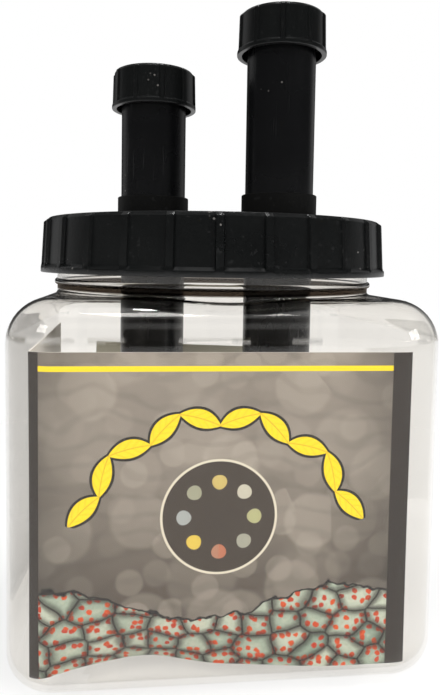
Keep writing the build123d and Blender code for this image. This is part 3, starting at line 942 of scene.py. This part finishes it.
def leafArch(pad, u, v, spec):
    # leaves side by side on an arc, tilted by turns; gives how far a point is inside one, and its veins
    x, y = u - spec["archX"], v - spec["archY"]
    radius = pad.length(x, y)
    length = 11.4
    along = pad.maths("ARCTAN2", x, y) * (spec["archRadius"] / length) + 5.0
    number = pad.maths("FLOOR", along)
    tilt = pad.maths("FLOORED_MODULO", number, 2.0) * 2 - 1
    x, y = turnedBy(pad, (along - number - 0.5) * length, radius - spec["archRadius"], tilt * 0.42)
    hull = 2.8 * (1 - (x / 6.6) ** 2) - abs(y)
    shown = pad.ease(number, -0.1, 0.0) * pad.fall(number, 9.0, 9.1)
    rib = pad.fall(abs(y), 0.1, 0.28)
    veins = pad.ease(pad.maths("SINE", (x - abs(y) * 1.2) * 2.4), 0.75, 0.95)
    return hull, shown, pad.maths("MAXIMUM", rib, veins * 0.5)


def cardPrint(spec, fold):
    # a plain print: soft discs on taupe, an arch of yellow leaves over a medallion, pebbles at the foot
    pad = newPad("cardPrint")
    tint = dict(spec)
    u, v, at = printPlace(pad, fold)
    coats = [(pad.noise(at, 0.05, 3) * 0.5, "skyLow")]
    for scale, size, share in ((0.045, 0.42, 0.34), (0.09, 0.4, 0.26), (0.03, 0.34, 0.22)):
        coats.append((softDiscs(pad, at, scale, size) * share, "pale"))
    ripple = pad.maths("SINE", (v + pad.noise(at, 0.035, 2) * 26) * 0.85)
    coats += [(pad.ease(ripple, 0.2, 1.0) * 0.12, "shade"),
              (pad.ease(abs(u - spec["archX"]), 28, 64) * 0.55, "shade")]

    # the medallion, with a ring of coloured dots
    x, y = u - spec["archX"], v - spec["discY"]
    away, size = pad.length(x, y), spec["discRadius"]
    coats += [(pad.fall(away, size - 0.1, size + 0.1), "border"),
              (pad.fall(away, size - 0.8, size - 0.6), "panel")]
    count, ring = spec["dotCount"], spec["dotRing"]
    turn = pad.maths("ARCTAN2", x, y) * (count / (2 * math.pi)) + 4.5
    number = pad.maths("FLOOR", turn)
    dotX, dotY = (turn - number - 0.5) * (2 * math.pi * ring / count), away - ring
    tint["dot"] = pad.ramp(pad.maths("FRACT", number * 0.37 + 0.1), spec["dots"])
    coats.append((pad.fall(pad.length(dotX, dotY), 2.1, 2.3), "dot"))

    hull, shown, veins = leafArch(pad, u, v, spec)
    tint["leaf"] = pad.mix(veins * 0.55, tint["yellow"], tint["vein"])
    coats += [(pad.ease(hull, -0.85, -0.65) * shown, "outline"), (pad.ease(hull, 0.0, 0.15) * shown, "leaf")]

    crest = pad.maths("SINE", u * 0.075 + 0.9) * 5 + pad.noise(at, 0.16, 2) * 8 + 24
    tint["pebbles"] = pebbles(pad, at, tint)
    coats += [(pad.ease(crest - v, -0.8, -0.4), "outline"), (pad.ease(crest - v, 0, 0.4), "pebbles")]

    # a yellow rule near the top and dark stripes down both sides
    coats.append((pad.fall(abs(v - spec["ruleY"]), 0.75, 0.85), "yellow"))
    margin = pad.fall(u, spec["marginEnd"] - 0.1, spec["marginEnd"] + 0.1)
    stripe = pad.ease(u, spec["stripeStart"] - 0.1, spec["stripeStart"] + 0.1)
    coats.append((pad.maths("MAXIMUM", margin, stripe), "stripe"))

    ground = pad.mix(pad.ease(v, 14, 84), tint["skyLow"], tint["skyTop"])
    for mask, name in coats:
        ground = pad.mix(mask, ground, tint[name])
    grain = pad.noise(at, 14, 2)
    ground = pad.mix(grain * 0.08, ground, (0.5, 0.5, 0.5), "OVERLAY")
    roughness = 0.38 + pad.noise(at, 0.3, 2) * 0.12
    return pad.surface(ground, roughness, pad.bump(grain, 0.06, 0.0002), 0.2)


line = cardLine(cardSpec)
cardLow = heelLevel(cardSpec["gap"] - cardSpec["thick"] / 2) + cardSpec["rest"]
foldRun = float(np.hypot(*np.diff(line[:flapPoints], axis=0).T).sum())


def cardSway(s, z):
    # a slow wave, and at the foot of the front a bow of bow(s) (1 - height / rise)^2 away from the wall
    wave = cardSpec["wave"] * np.sin(s / 19) * np.sin((z - 4) / 31) * 0.6
    places, depths = np.array(footBow).T
    bow = np.interp(s - foldRun, places, depths)
    kernel = np.hanning(9) / np.hanning(9).sum()
    bow[:, 0] = np.convolve(np.pad(bow[:, 0], 4, mode="edge"), kernel, mode="valid")
    low = np.clip(1 - (z - cardLow) / cardSpec["footRise"], 0, 1)
    return wave - bow[:, :1] * low * low


faces, run, level = sheetShell(line, cardLow, cardLow + cardSpec["height"], cardSpec["thick"], 60, cardSway)
cardFace = cardPrint(printSpec, foldRun)
makeSheet("printedCard", faces, run, level, [cardFace, board], ["printed_card"])

leafletSpec = {"width": 98.0, "height": 80.0, "shift": -2.5, "tilt": 2.0, "gap": 1.6, "thick": 0.4}
leafletPaper = plainBoard("leafletPaper", "9A9686", "858172")


def leafletPrint():
    # a plain leaflet: rows of short faint bars in two columns, and a pale band at its head
    pad = newPad("leafletPrint")
    u, v, at = printPlace(pad)
    fibres = pad.noise(at, 6, 4)
    base = pad.mix(fibres, "8B8778", "9F9B8B")
    row = v / 3.1
    inRow = pad.maths("FRACT", row) - 0.5
    column = pad.maths("FRACT", u / 49)
    end = 0.9 - pad.maths("FRACT", pad.maths("FLOOR", row) * 0.37 + pad.maths("FLOOR", u / 49) * 0.21) * 0.3
    bars = pad.fall(abs(inRow), 0.16, 0.24) * pad.ease(column, 0.1, 0.12)
    bars = bars * pad.fall(column - end, 0.0, 0.02) * pad.fall(v, 58, 59) * pad.ease(v, 8, 9)
    base = pad.mix(bars * 0.55, base, "565245")
    head = pad.ease(v, 63, 63.3) * pad.fall(v, 73, 73.3)
    base = pad.mix(head * 0.5, base, "C9C4B2")
    return pad.surface(base, 0.75 + fibres * 0.1, pad.bump(fibres, 0.12, 0.0002), 0.2)


def leafletSheet(spec):
    # a flat sheet at the back wall, turned by its tilt about the Y axis
    t = math.radians(spec["tilt"])
    rise = (spec["height"] * math.cos(t) + spec["width"] * math.sin(t)) / 2
    middle = heelLevel(spec["gap"] - spec["thick"] / 2) + 0.5 + rise
    u = np.linspace(-spec["width"] / 2, spec["width"] / 2, 50)
    v = np.linspace(-spec["height"] / 2, spec["height"] / 2, 40)
    uu, vv = np.meshgrid(u, v, indexing="ij")
    y0 = jarSpec["half"] - jarSpec["wall"] - spec["gap"]
    sway = 0.25 * np.sin(uu / 16 + 0.4) * np.cos(vv / 27)
    x = spec["shift"] + uu * math.cos(t) + vv * math.sin(t)
    z = middle - uu * math.sin(t) + vv * math.cos(t)
    faces = [np.stack([x, y0 + side * spec["thick"] / 2 + sway, z], -1) for side in (1, -1)]
    return faces, uu + spec["width"] / 2, vv + spec["height"] / 2


faces, run, level = leafletSheet(leafletSpec)
leafletSides = [leafletPrint(), leafletPaper]
makeSheet("leaflet_sheet", faces, run, level, leafletSides, ["leaflet"])
print("scene: card and leaflet cut")

# stage, light and camera

cameraSpec = {"distance": 0.25178, "height": 0.13129, "focal": 642.09, "yaw": 0.0118, "pitch": 0.0591,
              "roll": 0.0154, "principal": 297.8, "turn": 0.0966, "frameHeight": 695}


def makeCamera(spec):
    data = bpy.data.cameras.new("camera")
    data.sensor_fit = "VERTICAL"
    data.sensor_height = 24.0
    data.lens = spec["focal"] / spec["frameHeight"] * data.sensor_height
    data.shift_y = (spec["principal"] - spec["frameHeight"] / 2) / spec["frameHeight"]
    data.clip_start = 0.01
    data.clip_end = 50
    # it stands in front of the jar, looks down by its pitch, leans by its roll and is swung round the jar
    camera = newObject("camera", data)
    swing, yaw = (Matrix.Rotation(-spec[key], 4, "Z") for key in ("turn", "yaw"))
    place = Matrix.Translation((0, -spec["distance"], spec["height"]))
    down = Matrix.Rotation(math.pi / 2 - spec["pitch"], 4, "X")
    camera.matrix_world = swing @ place @ yaw @ down @ Matrix.Rotation(spec["roll"], 4, "Z")
    bpy.context.scene.camera = camera


makeCamera(cameraSpec)


def makeLamp(name, place, size, power, glossy):
    # a soft rectangle aimed at the jar; one that gloss doesn't show only lights the piece
    data = bpy.data.lights.new(name, "AREA")
    data.shape = "RECTANGLE"
    data.size, data.size_y = size
    data.energy = power
    lamp = newObject(name, data)
    lamp.location = place
    lamp.rotation_euler = (Vector(place) - Vector((0, 0, 0.1))).to_track_quat("Z", "Y").to_euler()
    lamp.visible_glossy = glossy


# each lamp's place and size in metres, its power in watts, and whether gloss shows it
lamps = {
    "keyLamp": ((-0.75, -0.85, 0.95), (0.45, 0.45), 11, False),
    "fillLamp": ((0.95, -0.75, 0.55), (0.5, 0.5), 8, False),
    "topLamp": ((0.05, -0.12, 1.1), (0.36, 0.2), 4, False),
    "leftGlint": ((-0.034, 0.074, 1.1), (0.022, 0.06), 0.4, True),
    "rightGlint": ((0.118, 0.13, 1.1), (0.042, 0.16), 1.6, True),
}
for name, settings in lamps.items():
    makeLamp(name, *settings)


def eyeRay(pad):
    # 1 for what the eye sees, directly or through clear walls, and 0 for light on its way between pieces
    lightPath = pad.add("LightPath")
    bounced = pad.maths("MAXIMUM", lightPath["Glossy Depth"] > 0.5, lightPath["Diffuse Depth"] > 0.5)
    direct = lightPath["Is Transmission Ray"] * (1 - bounced)
    return pad.maths("MAXIMUM", lightPath["Is Camera Ray"], direct), lightPath


# how bright the room is to gloss (its walls, side strips, upper strip and ceiling) and to soft light
roomSpec = {"walls": 0.05, "sides": 0.3, "upper": 0.4, "ceiling": 0.9, "soft": 0.55}


def makeWorld(spec):
    # white behind the object for the eye and through clear walls; a quiet room for gloss and soft light
    world = bpy.data.worlds.new("studio")
    bpy.context.scene.world = world
    pad = Pad(world)
    seen, lightPath = eyeRay(pad)
    heading = pad.split(pad.add("TexCoord")["Generated"])
    sides = pad.ease(heading["Y"], 0.2, 0.5) * pad.fall(heading["Y"], 0.68, 0.85)
    upper = pad.ease(heading["Z"], 0.62, 0.72) * pad.fall(heading["Z"], 0.8, 0.88)
    ceiling = pad.ease(heading["Z"], 0.93, 0.985)
    front = pad.fall(heading["Y"], -0.1, 0.2)
    room = spec["walls"] + sides * spec["sides"] + upper * front * spec["upper"] + ceiling * spec["ceiling"]
    matte = lightPath["Is Diffuse Ray"]
    level = seen + (1 - seen) * (matte * spec["soft"] + (1 - matte) * room)
    light = pad.add("Background", {"Color": (1, 1, 1), "Strength": level})
    pad.finish(light["Background"])


makeWorld(roomSpec)

# the floor's reach in mm, where in metres it turns white to the eye, and how bright it is
floorSpec = {"reach": 12000, "near": 0.1, "far": 0.3, "nearWhite": 0.55, "inGloss": 0.36}


def makeFloor(spec):
    # a pale floor that is white to the eye away from the object and keeps its shadow close by
    pad = newPad("paleFloor")
    spot = pad.split(pad.place())
    distance = pad.length(spot["X"], spot["Y"])
    seen, lightPath = eyeRay(pad)
    seen = pad.maths("MAXIMUM", seen, lightPath["Is Glossy Ray"] * spec["inGloss"])
    far = pad.ease(distance, spec["near"], spec["far"])
    matte = pad.add("BsdfDiffuse", {"Color": (0.86, 0.86, 0.86)})["BSDF"]
    bright = pad.add("Emission", {"Color": (1, 1, 1), "Strength": 1.0})["Emission"]
    share = seen * (spec["nearWhite"] + far * (1 - spec["nearWhite"]))
    material = pad.finish(pad.blend(share, matte, bright))
    corners = spec["reach"] * np.array([(-1, -1, 0), (1, -1, 0), (1, 1, 0), (-1, 1, 0)])
    floor = newObject("floor", newMesh("floor", corners, [(0, 1, 2, 3)], [material], 30))


makeFloor(floorSpec)
bpy.context.scene.view_settings.view_transform = "Standard"
print("scene: stage set")
